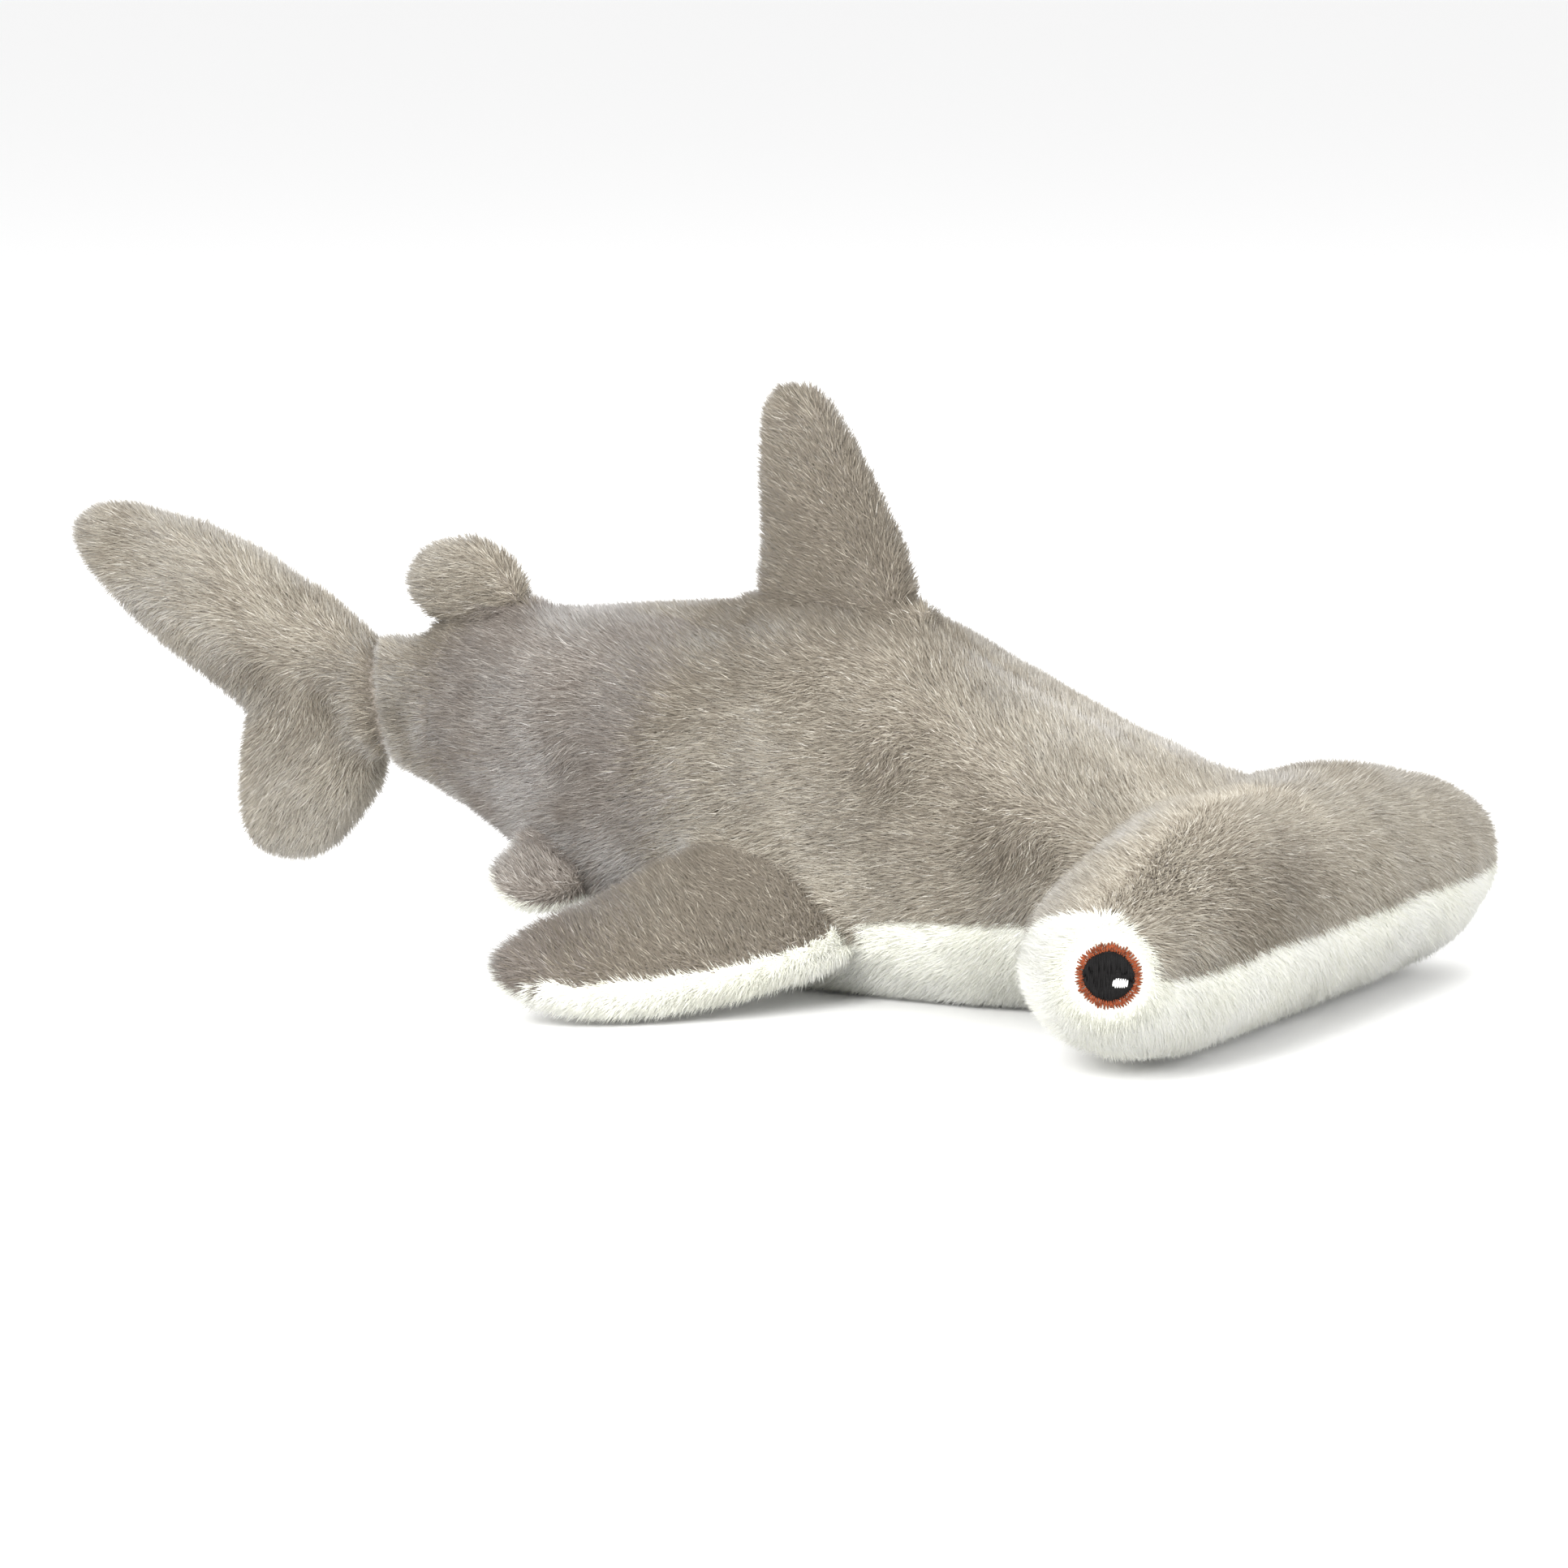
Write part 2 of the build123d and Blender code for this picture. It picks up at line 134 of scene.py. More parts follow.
def bump(away, radius):
    """1 at no distance, falling to nearly 0 by twice the radius."""
    return np.exp(-((away / radius) ** 2))


def vectors(x, y, z):
    """Rows of vectors from their three parts, each one a number or an array."""
    return np.stack(np.broadcast_arrays(x, y, z), axis=1)


def mixed(first, second, share):
    """Rows of the first vectors where share is 0 and of the second where it is 1."""
    return first * (1 - share)[:, None] + second * share[:, None]


def waves(points, size, seed, count=7):
    """Smooth noise from about -1 to 1, whose patches are about as large as size."""
    rng = np.random.default_rng(seed)
    directions = unit(rng.normal(size=(count, 3)))
    rates = 2 * math.pi / size * rng.uniform(0.55, 1.35, count)
    phases = rng.uniform(0, 2 * math.pi, count)
    return np.sin(points @ (directions * rates[:, None]).T + phases).sum(axis=1) / math.sqrt(count)


# ---------------------------------------------------------------- meshes
def arrays(mesh):
    """A mesh's corners and triangles."""
    mesh.calc_loop_triangles()
    points = np.empty(len(mesh.vertices) * 3, np.float32)
    mesh.vertices.foreach_get("co", points)
    triangles = np.empty(len(mesh.loop_triangles) * 3, np.int32)
    mesh.loop_triangles.foreach_get("vertices", triangles)
    return points.reshape(-1, 3).astype(float), triangles.reshape(-1, 3)


def set_points(mesh, points):
    mesh.vertices.foreach_set("co", points.astype(np.float32).ravel())
    mesh.update()


def vertex_normals(mesh):
    normals = np.empty(len(mesh.vertices) * 3, np.float32)
    mesh.vertices.foreach_get("normal", normals)
    return normals.reshape(-1, 3).astype(float)


def of_faces(mesh, what):
    """The center or the normal of each face."""
    values = np.empty(len(mesh.polygons) * 3, np.float32)
    mesh.polygons.foreach_get(what, values)
    return values.reshape(-1, 3).astype(float)


def neighbours(mesh):
    """The pairs of corners that share an edge."""
    pairs = np.empty(len(mesh.edges) * 2, np.int32)
    mesh.edges.foreach_get("vertices", pairs)
    return pairs.reshape(-1, 2)


def make_mesh(name, points, faces):
    """A smooth-shaded mesh from arrays, whose faces all have the same number of corners."""
    mesh = bpy.data.meshes.new(name)
    corners = faces.shape[1]
    mesh.vertices.add(len(points))
    mesh.vertices.foreach_set("co", np.asarray(points, np.float32).ravel())
    mesh.loops.add(faces.size)
    mesh.loops.foreach_set("vertex_index", faces.astype(np.int32).ravel())
    mesh.polygons.add(len(faces))
    mesh.polygons.foreach_set("loop_start", np.arange(0, faces.size, corners, dtype=np.int32))
    mesh.polygons.foreach_set("use_smooth", np.full(len(faces), True))
    mesh.update(calc_edges=True)
    return mesh


def place(name, data):
    """A new object in the scene."""
    piece = bpy.data.objects.new(name, data)
    bpy.context.scene.collection.objects.link(piece)
    return piece


def applied(piece):
    """Replaces a piece's mesh with what its modifiers make of it."""
    graph = bpy.context.evaluated_depsgraph_get()
    mesh = bpy.data.meshes.new_from_object(piece.evaluated_get(graph))
    piece.modifiers.clear()
    piece.data = mesh


def hull(points):
    """The convex hull of some points, as corners and triangles."""
    work = bmesh.new()
    for point in points:
        work.verts.new(point)
    found = bmesh.ops.convex_hull(work, input=work.verts)
    inside = [v for v in found["geom_interior"] if isinstance(v, bmesh.types.BMVert)]
    bmesh.ops.delete(work, geom=inside, context="VERTS")
    mesh = bpy.data.meshes.new("hull")
    bmesh.ops.triangulate(work, faces=work.faces)
    work.to_mesh(mesh)
    work.free()
    result = arrays(mesh)
    bpy.data.meshes.remove(mesh)
    return result


def tree_of(piece):
    points, triangles = arrays(piece.data)
    return BVHTree.FromPolygons(points.tolist(), triangles.tolist(), all_triangles=True)


# ---------------------------------------------------------------- shaping
def drift(points, pairs):
    """From each corner to the mean of the corners next to it."""
    here, there = pairs.T.reshape(2, -1)
    here, there = np.concatenate([here, there]), np.concatenate([there, here])
    count = np.maximum(np.bincount(here, minlength=len(points)), 1)
    total = [np.bincount(here, points[there, axis], len(points)) for axis in range(3)]
    return np.stack(total, axis=1) / count[:, None] - points


def relax(mesh, rounds):
    """Evens out a mesh, pushing back half of each step so that it hardly shrinks."""
    points, _ = arrays(mesh)
    pairs = neighbours(mesh)
    for step in range(2 * rounds):
        points += drift(points, pairs) * (0.6 if step % 2 == 0 else -0.3)
    set_points(mesh, points)


def fillet(mesh, rounds, share):
    """Fills hollows with a soft curve: each corner may move out but not in, by its share."""
    points, _ = arrays(mesh)
    pairs = neighbours(mesh)
    for step in range(rounds):
        if step % 10 == 0:
            set_points(mesh, points)
            normals = vertex_normals(mesh)
        out = np.maximum((drift(points, pairs) * normals).sum(axis=1), 0)
        points += normals * (0.8 * out * share)[:, None]
    set_points(mesh, points)


def push_out(mesh, distance):
    """Moves each corner out along its normal, by one distance or by its own."""
    points, _ = arrays(mesh)
    points += vertex_normals(mesh) * np.asarray(distance).reshape(-1, 1)
    set_points(mesh, points)


def keep_largest(mesh):
    """Drops every loose part but the one with the most corners."""
    pairs = neighbours(mesh)
    label = np.arange(len(mesh.vertices))
    while True:
        low = np.minimum(label[pairs[:, 0]], label[pairs[:, 1]])
        new = label.copy()
        np.minimum.at(new, pairs[:, 0], low)
        np.minimum.at(new, pairs[:, 1], low)
        new = new[new]
        if (new == label).all():
            break
        label = new
    best = np.bincount(label).argmax()
    work = bmesh.new()
    work.from_mesh(mesh)
    work.verts.ensure_lookup_table()
    loose = [work.verts[i] for i in np.flatnonzero(label != best)]
    bmesh.ops.delete(work, geom=loose, context="VERTS")
    work.to_mesh(mesh)
    work.free()


# ---------------------------------------------------------------- where the CAD panels are
PANELS = [node for node in NODES if "stuffing" not in node and "eye_" not in node]
IS_CREAM = np.array(["under" in node or "belly" in node for node in PANELS])
IS_TAIL_FIN = np.array(["caudal" in node for node in PANELS])


def tree_of_panels():
    """A search tree over all the panels' faces, and each face's number in PANELS."""
    points, faces, panel_of_face = [], [], []
    start = 0
    for number, node in enumerate(PANELS):
        corners, triangles = arrays(NODES[node].data)
        points.append(corners)
        faces.append(triangles + start)
        panel_of_face.append(np.full(len(triangles), number))
        start += len(corners)
    points, faces = np.concatenate(points).tolist(), np.concatenate(faces).tolist()
    return BVHTree.FromPolygons(points, faces, all_triangles=True), np.concatenate(panel_of_face)


def cloths():
    """The number of each panel's cloth, as the back's covering runs on through the tail's bend."""
    result = np.arange(len(PANELS))
    for number, node in enumerate(PANELS):
        if node.startswith("tail_"):
            result[number] = PANELS.index(node.replace("tail_", "back_"))
    return result


PANEL_TREE, PANEL_OF_FACE = tree_of_panels()
CLOTH = cloths()
CREASE_FACING = unit(np.array([CREASE_AXIS[2], 0.0, -CREASE_AXIS[0]]))  # towards the head


def panel_at(points):
    """The number in PANELS of the CAD panel at each point, with the sag of the hammer's top."""
    ahead = smooth(HAMMER_MIDDLE, HAMMER_MIDDLE + 10 * MM, points[:, 0])
    sag = FRONT_SAG * ahead * np.clip(1 - (points[:, 1] / HAMMER_HALF) ** 2, 0, 1)
    raised = points + sag[:, None] * UP
    return np.array([PANEL_OF_FACE[PANEL_TREE.find_nearest(p)[2]] for p in raised.tolist()])


def ahead_of_crease(points):
    """Distance towards the head from the fold at the tail fin, which is a little ahead on the flanks."""
    return (points - CREASE) @ CREASE_FACING - CREASE_SLANT * np.abs(points[:, 1])


# ---------------------------------------------------------------- where the eyes are
# The middle of the face, the way it looks, forward along it, and the radii of its iris and pupil.
Eye = namedtuple("Eye", "face look forward iris pupil")


def find_eye(side):
    """Where the CAD has an embroidered eye."""
    points, _ = arrays(NODES[f"eye_iris_{side}"].data)
    middle = (points.min(axis=0) + points.max(axis=0)) / 2
    _, _, rows = np.linalg.svd(points - points.mean(axis=0), full_matrices=False)
    look = rows[2] * np.sign(rows[2][1] * middle[1])
    out = (points - middle) @ look
    face = middle + look * out.max()
    forward = unit(np.array([look[1], -look[0], 0.0]))
    forward *= np.sign(forward[0])
    spread = np.linalg.norm((points - face) - ((points - face) @ look)[:, None] * look, axis=1)
    return Eye(face, look, forward, spread.max(), spread.min())


EYES = {side: find_eye(side) for side in ("left", "right")}


def out_and_away(eye, points):
    """How far points are out from an eye's face, and away from its middle along the face."""
    gap = points - eye.face
    out = gap @ eye.look
    return out, np.linalg.norm(gap - out[:, None] * eye.look, axis=1)


# ---------------------------------------------------------------- stuffed forms
def stuffing_of(body):
    return arrays(NODES[next(node for node in BODIES[body] if "stuffing" in node)].data)


def fin_root(body):
    """A fin's hinge: a point on it, its direction, and the way the fin stands out from it."""
    joint = JOINTS[body]
    origin = np.array(joint["pos_m"], float)
    along = unit(np.array(joint["axis"], float))
    outward = stuffing_of(body)[0].mean(axis=0) - origin
    outward = unit(outward - along * (outward @ along))
    return origin, along, outward


def root_plug(body):
    """Fills the socket that a fin's rounded root turns in, so that the covering has no hole there."""
    origin, along, outward = fin_root(body)
    points = stuffing_of(body)[0] - origin
    points = points[points @ outward < 0.5 * MM]
    radius = np.abs(points @ np.cross(along, outward)).max()
    return hull(origin + points * (radius + SOCKET_FILL) / radius)


def bend_plug():
    """Joins the torso's stuffing to the tail's, across the bend."""
    ends = [stuffing_of(body)[0] for body in ("torso", "tail")]
    return hull(np.concatenate([end[np.abs(end[:, 0] - BEND[0]) < BEND_OVERLAP] for end in ends]))


def form(name, parts, voxel, rounds, swell):
    """One closed smooth mesh round the given corners and triangles."""
    points, faces, start = [], [], 0
    for corners, triangles in parts:
        points.append(corners)
        faces.append(triangles + start)
        start += len(corners)
    piece = place(name, make_mesh(name, np.concatenate(points), np.concatenate(faces)))
    remesh = piece.modifiers.new("remesh", "REMESH")
    remesh.mode = "VOXEL"
    remesh.voxel_size = voxel
    applied(piece)
    keep_largest(piece.data)
    relax(piece.data, rounds)
    push_out(piece.data, swell)
    relax(piece.data, 3)
    return piece


def soften_hollows(mesh):
    """Rounds the hollows where the hammer and the tail fin join the body, most of all under the tail."""
    x = arrays(mesh)[0][:, 0]
    at_neck = smooth(HAMMER_BACK - 40 * MM, HAMMER_BACK - 20 * MM, x)
    at_tail_fin = smooth(CREASE[0] + 12 * MM, CREASE[0] + 2 * MM, x)
    fillet(mesh, 150, np.maximum(at_neck, at_tail_fin))
    fillet(mesh, 160, bump(np.linalg.norm(arrays(mesh)[0] - UNDER_CREASE, axis=1), 12 * MM))


def sag_right_end(mesh):
    """The right end of the hammer is stuffed more thinly: its top is lower and its back is fuller."""
    points, _ = arrays(mesh)
    x, y, z = points.T
    end = smooth(42 * MM, 82 * MM, -y) * (x > HAMMER_BACK - 5 * MM)
    z -= 0.22 * end * np.maximum(z - EYE_LEVEL, 0)
    x -= 3 * MM * end * smooth(HAMMER_MIDDLE, HAMMER_BACK + 4 * MM, x)
    set_points(mesh, points)


def seat_eyes(mesh):
    """Draws the cloth level behind each embroidered eye."""
    points, _ = arrays(mesh)
    for eye in EYES.values():
        out, away = out_and_away(eye, points)
        share = smooth(eye.iris + 9 * MM, eye.iris, away) * (out > -12 * MM)
        points += (share * (-EYE_BACKING - out))[:, None] * eye.look
    set_points(mesh, points)


def lower_front_root(mesh, body):
    """Sets the front corner of a pectoral fin's root low, where it runs into the white belly."""
    origin, along, outward = fin_root(body)
    points, _ = arrays(mesh)
    gap = points - origin
    front = smooth(-4 * MM, 20 * MM, gap @ (along * np.sign(along[0])))
    near = smooth(26 * MM, 2 * MM, gap @ outward)
    points += (front * near)[:, None] * (-4.5 * MM * UP - outward * 4 * MM)
    points -= near[:, None] * outward * 4 * MM
    set_points(mesh, points)


def sew(mesh):
    """Draws the covering in along its seams, where one panel meets the next."""
    points, _ = arrays(mesh)
    panel = panel_at(points)
    pairs = neighbours(mesh)
    cloth = CLOTH[panel]
    crossing = pairs[cloth[pairs[:, 0]] != cloth[pairs[:, 1]]]
    tree = KDTree(len(crossing))
    for index, middle in enumerate(points[crossing].mean(axis=1).tolist()):
        tree.insert(middle, index)
    tree.balance()
    away = np.array([tree.find(p)[2] for p in points.tolist()])
    depth = SEAM_DEPTH * bump(away, SEAM_WIDTH)
    if IS_TAIL_FIN[panel].any():
        shallow_below = 0.3 + 0.7 * smooth(-15 * MM, -7 * MM, points[:, 2] - CREASE[2])
        depth += CREASE_DEPTH * shallow_below * bump(ahead_of_crease(points), CREASE_WIDTH)
    push_out(mesh, -depth)


def rest_on_floor(mesh):
    points, _ = arrays(mesh)
    points[:, 2] = np.maximum(points[:, 2], FLOOR_GAP)
    set_points(mesh, points)


def body_form():
    """The torso, tail and tail fin in one, with the fins' sockets filled."""
    parts = [stuffing_of(body) for body in ("torso", "tail", "caudal_fin")]
    parts.append(bend_plug())
    parts += [root_plug(body) for body in (*FINS, "caudal_fin")]
    return form("body_form", parts, BODY_VOXEL, BODY_ROUNDS, 0.4 * SKIN)


whole = body_form()
forms = {body: form(body + "_form", [stuffing_of(body)], FIN_VOXEL, FIN_ROUNDS, SKIN) for body in FINS}
soften_hollows(whole.data)
sag_right_end(whole.data)
seat_eyes(whole.data)
relax(whole.data, 2)
for body in ("pectoral_fin_left", "pectoral_fin_right"):
    lower_front_root(forms[body].data, body)
for piece in (whole, *forms.values()):
    sew(piece.data)
    rest_on_floor(piece.data)


# ---------------------------------------------------------------- materials
def new_material(name, roughness, specular):
    """A material with its tree, its shader and mottling noise in the object's own coordinates."""
    material = bpy.data.materials.new(name)
    material.use_nodes = True
    tree = material.node_tree
    shader = tree.nodes["Principled BSDF"]
    shader.inputs["Roughness"].default_value = roughness
    shader.inputs["Specular IOR Level"].default_value = specular
    where = tree.nodes.new("ShaderNodeTexCoord")
    mottle = tree.nodes.new("ShaderNodeTexNoise")
    tree.links.new(where.outputs["Object"], mottle.inputs["Vector"])
    return material, tree, shader, where, mottle


def cloth_material(name, base, spread, roughness, scale, raised, sheen=0.35, specular=0.5):
    """Mottled cloth or thread with a fine raised weave."""
    material, tree, shader, where, mottle = new_material(name, roughness, specular)
    shader.inputs["Sheen Weight"].default_value = sheen
    shader.inputs["Sheen Roughness"].default_value = 0.5
    mottle.inputs["Scale"].default_value = scale
    mottle.inputs["Detail"].default_value = 6.0
    ramp = tree.nodes.new("ShaderNodeValToRGB")
    dark, light = ramp.color_ramp.elements
    dark.position, light.position = 0.3, 0.72
    dark.color = (*[c * (1 - spread) for c in base], 1)
    light.color = (*[min(1, c * (1 + spread)) for c in base], 1)
    weave = tree.nodes.new("ShaderNodeTexVoronoi")
    weave.inputs["Scale"].default_value = scale * 9
    relief = tree.nodes.new("ShaderNodeBump")
    relief.inputs["Strength"].default_value = raised
    relief.inputs["Distance"].default_value = 0.4 * MM
    tree.links.new(where.outputs["Object"], weave.inputs["Vector"])
    tree.links.new(mottle.outputs["Fac"], ramp.inputs["Fac"])
    tree.links.new(ramp.outputs["Color"], shader.inputs["Base Color"])
    tree.links.new(weave.outputs["Distance"], relief.inputs["Height"])
    tree.links.new(relief.outputs["Normal"], shader.inputs["Normal"])
    return material


def pile_material(name, colour, roughness=0.55):
    """One tone of pile, with a velvet sheen that comes and goes in patches."""
    material, tree, shader, _, mottle = new_material(name, roughness, 0.35)
    shader.inputs["Base Color"].default_value = (*colour, 1)
    shader.inputs["Sheen Roughness"].default_value = 0.4
    mottle.inputs["Scale"].default_value = 55
    mottle.inputs["Detail"].default_value = 4.0
    share = tree.nodes.new("ShaderNodeMapRange")
    share.inputs["From Min"].default_value = 0.35
    share.inputs["From Max"].default_value = 0.65
    share.inputs["To Min"].default_value = 0.05
    share.inputs["To Max"].default_value = 0.45
    tree.links.new(mottle.outputs["Fac"], share.inputs["Value"])
    tree.links.new(share.outputs["Result"], shader.inputs["Sheen Weight"])
    return material


GREY_BACKING = cloth_material("grey_backing", (0.26, 0.228, 0.195), 0.2, 0.85, 160, 0.5)
CREAM_BACKING = cloth_material("cream_backing", (0.86, 0.86, 0.78), 0.06, 0.8, 160, 0.4)
# Each list goes from dark to light, for the pile's uneven tone and its painted light and shade. The last
# grey is painted sparkle: a lighter tone, with a little more real shine, for hairs that catch the light.
WARM_TONES = [
    pile_material("grey_pile_dark", (0.192, 0.164, 0.126)),
    pile_material("grey_pile_deep", (0.312, 0.274, 0.218)),
    pile_material("grey_pile_mid", (0.432, 0.390, 0.320)),
    pile_material("grey_pile_light", (0.576, 0.535, 0.452)),
    pile_material("grey_pile_sparkle", (0.80, 0.765, 0.69), 0.35),
]
COOL_TONES = [
    pile_material("cool_pile_dark", (0.19, 0.162, 0.138)),
    pile_material("cool_pile_deep", (0.30, 0.268, 0.235)),
    pile_material("cool_pile_mid", (0.42, 0.382, 0.342)),
    pile_material("cool_pile_light", (0.56, 0.52, 0.475)),
    pile_material("cool_pile_sparkle", (0.78, 0.755, 0.715), 0.35),
]
CREAM_TONES = [
    pile_material("cream_pile_shade", (0.81, 0.81, 0.71)),
    pile_material("cream_pile_mid", (0.935, 0.935, 0.84)),
    pile_material("cream_pile_light", (0.96, 0.96, 0.90), 0.45),
]
PILE_MATERIALS = WARM_TONES + COOL_TONES + CREAM_TONES
FIRST_COOL = len(WARM_TONES)
FIRST_CREAM = len(WARM_TONES) + len(COOL_TONES)
SPARKLE_TONE = len(WARM_TONES) - 1

RUST_THREAD = cloth_material("rust_thread", (0.19, 0.044, 0.016), 0.5, 0.5, 1400, 0.3, 0.0, 0.12)
BLACK_THREAD = cloth_material("black_thread", (0.005, 0.0045, 0.0045), 0.4, 0.5, 1400, 0.3, 0.0, 0.14)
WHITE_THREAD = cloth_material("white_thread", (0.88, 0.88, 0.86), 0.08, 0.45, 1400, 0.3, 0.1)

# ---------------------------------------------------------------- eyes
THREAD_SIDES, THREAD_STEPS = 6, 7
IRIS_STITCHES = 130
PUPIL_STITCHES = 30      # in each of its two layers
GLINT_STITCHES = 7


def thread(begin, end, look, width, height):
    """The rings of corners of one raised thread, rounded over the cloth."""
    across = unit(np.cross(look, end - begin))
    turn = np.arange(THREAD_SIDES) * 2 * math.pi / THREAD_SIDES
    rings = []
    for step in range(THREAD_STEPS):
        t = step / (THREAD_STEPS - 1)
        radius = width / 2 * math.sin(math.pi * min(max(t, 0.06), 0.94)) ** 0.35
        rise = height * math.sin(math.pi * t) ** 0.5 if 0 < t < 1 else 0.0
        centre = begin + (end - begin) * t + look * rise
        sideways = np.outer(np.cos(turn), across) * radius
        rings.append(centre + sideways + np.outer(np.sin(turn), look) * 0.8 * radius)
    return np.concatenate(rings)


def stitches(name, ends, width, height, look, material, seed):
    """Raised threads, each from one point to another, closed at their ends."""
    rng = np.random.default_rng(seed)
    points, faces = [], []
    for number, (begin, end) in enumerate(ends):
        high = height * rng.uniform(0.8, 1.2)
        points.append(thread(begin, end, look, width * rng.uniform(0.85, 1.15), high))
        start = number * THREAD_SIDES * THREAD_STEPS
        for ring in range(start, start + (THREAD_STEPS - 1) * THREAD_SIDES, THREAD_SIDES):
            for side in range(THREAD_SIDES):
                a, b = ring + side, ring + (side + 1) % THREAD_SIDES
                faces.append((a, b, b + THREAD_SIDES, a + THREAD_SIDES))
    mesh = make_mesh(name, np.concatenate(points), np.array(faces))
    work = bmesh.new()
    work.from_mesh(mesh)
    bmesh.ops.holes_fill(work, edges=work.edges)
    work.to_mesh(mesh)
    work.free()
    mesh.materials.append(material)
    return place(name, mesh)


def levels(count):
    """Even places from -1 to 1, each in the middle of its own step."""
    return [(number + 0.5) / count * 2 - 1 for number in range(count)]


def iris_ends(eye, base, rng):
    """Radial stitches round the iris."""
    def at(radius, angle):
        return base + (eye.forward * math.cos(angle) + UP * math.sin(angle)) * radius

    ends = []
    for number in range(IRIS_STITCHES):
        angle = 2 * math.pi * number / IRIS_STITCHES + rng.normal(0, 0.012)
        slant = 0.10 if number % 2 else -0.06
        inner = at(eye.pupil * rng.uniform(0.94, 1.0), angle)
        ends.append((inner, at(eye.iris * rng.uniform(0.98, 1.06), angle + slant)))
    return ends


def pupil_ends(eye, base, rng):
    """A level underlay, and upright satin stitches over it, each row in two lengths."""
    ends = []
    for level in levels(PUPIL_STITCHES):
        half = eye.forward * eye.pupil * math.sqrt(1 - level * level)
        beneath = base - eye.look * 0.2 * MM + UP * eye.pupil * level
        ends.append((beneath - half, beneath + half))
    for level in levels(PUPIL_STITCHES):
        half = eye.pupil * 1.06 * math.sqrt(1 - level * level)
        row = base + eye.forward * eye.pupil * 1.04 * level
        stop = rng.uniform(-0.5, 0.5, 1)[0] * half
        ends.append((row - UP * half, row + UP * stop))
        ends.append((row + UP * stop, row + UP * half))
    return ends


def glint_ends(eye, side, rng):
    """Short upright stitches that fill the CAD's highlight."""
    glint, _ = arrays(NODES[f"eye_highlight_{side}"].data)
    middle = (glint.min(axis=0) + glint.max(axis=0)) / 2
    middle = middle + eye.look * ((eye.face - middle) @ eye.look + 0.12 * MM)
    wide = np.abs((glint - middle) @ eye.forward).max()
    tall = np.abs((glint - middle) @ UP).max()
    ends = []
    for level in levels(GLINT_STITCHES):
        half = tall * (0.95 - 0.3 * abs(level)) * rng.uniform(0.75, 1.15)
        centre = middle + eye.forward * wide * level
        ends.append((centre - UP * half, centre + UP * half + eye.forward * 0.25 * MM))
    return ends


def embroider(side, seed):
    """An eye's iris, pupil and highlight."""
    eye = EYES[side]
    rng = np.random.default_rng(seed)
    base = eye.face - eye.look * 0.25 * MM
    sewn = (
        ("iris", "rust_thread", iris_ends(eye, base, rng), 0.38 * MM, 0.3 * MM, RUST_THREAD),
        ("pupil", "black_thread", pupil_ends(eye, base, rng), 0.56 * MM, 0.3 * MM, BLACK_THREAD),
        ("highlight", "white_thread", glint_ends(eye, side, rng), 0.42 * MM, 0.26 * MM, WHITE_THREAD),
    )
    for number, (kind, slot, ends, width, height, material) in enumerate(sewn):
        name = f"{kind}_stitches_{side}"
        piece = stitches(name, ends, width, height, eye.look, material, seed + 1 + number)
        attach(piece, "torso")
        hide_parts(f"eye_{kind}_{side}")


embroider("left", 40)
embroider("right", 50)

# ---------------------------------------------------------------- nap: the way the pile lies
# Where a thumb has turned the pile: middle, radius.
BRUSHED = [
    ((0.075, -0.036, 0.055), 0.009),
    ((0.108, -0.037, 0.040), 0.010),
    ((0.052, -0.030, 0.070), 0.010),
    ((-0.093, -0.010, 0.055), 0.007),
    ((0.060, 0.038, 0.050), 0.009),
    ((0.000, 0.030, 0.050), 0.008),
    ((-0.010, -0.033, 0.050), 0.007),
]


def body_nap(points):
    """Towards the tail along the body, down the front of the hammer, and out along the tail lobes."""
    x, y, z = points.T
    side = np.sign(y)
    along_body = vectors(-1.0, 0.10 * side, -0.18)
    over_crest = vectors(-1.0, 0.2 * side, 0.1)
    down_front = vectors(0.35, 0.25 * side, -1.0)
    ahead = smooth(HAMMER_CREST - 10 * MM, HAMMER_CREST + 10 * MM, x)
    on_hammer = smooth(HAMMER_BACK, HAMMER_BACK + 12 * MM, x)
    flow = mixed(along_body, mixed(over_crest, down_front, ahead), on_hammer)
    behind = smooth(0.0, 10 * MM, CREASE[0] - x)
    low = smooth(4 * MM, -8 * MM, z - CREASE[2] - 0.35 * (CREASE[0] - x))
    along_lobes = vectors(-1.0 + 0.7 * low, 0.0, 0.42 - 1.4 * low)
    return mixed(flow, along_lobes, behind)


def fin_nap(body):
    """Out along a fin and back."""
    _, along, outward = fin_root(body)
    back = -along * np.sign(along[0])
    weight = {"dorsal_fin": 0.45, "second_dorsal_fin": 0.7}.get(body, 0.75)

    def nap(points):
        return np.tile(outward * (1 - weight) + back * weight, (len(points), 1))

    return nap


# ---------------------------------------------------------------- tones of the pile
# Painted light and painted shade on the pile, where its brushed nap looks lighter or darker: middle,
# radius, change.
NAP_LIGHT_AND_SHADE = [
    ((-0.022, 0.000, 0.050), 0.062, -2.0),
    ((-0.060, 0.000, 0.055), 0.024, -0.6),
    ((0.048, 0.000, 0.100), 0.034, -1.3),
    ((0.085, -0.038, 0.052), 0.020, -0.35),
    ((0.110, -0.030, 0.045), 0.018, -0.55),
    ((0.080, 0.000, 0.075), 0.032, -0.6),
    ((0.170, -0.045, 0.040), 0.020, -0.45),
    ((0.165, 0.040, 0.045), 0.026, 0.70),
    ((0.152, 0.000, 0.060), 0.026, 0.35),
    ((-0.100, 0.000, 0.025), 0.022, 0.7),
    ((-0.090, -0.010, 0.058), 0.011, -0.9),
    ((0.050, -0.040, 0.040), 0.024, 0.35),
    ((0.140, -0.020, 0.050), 0.018, 0.35),
]
SPARKLE_SHARE = 0.06       # painted sparkle: hairs two tones lighter than those round them
COOL_BELOW_Z = 79 * MM
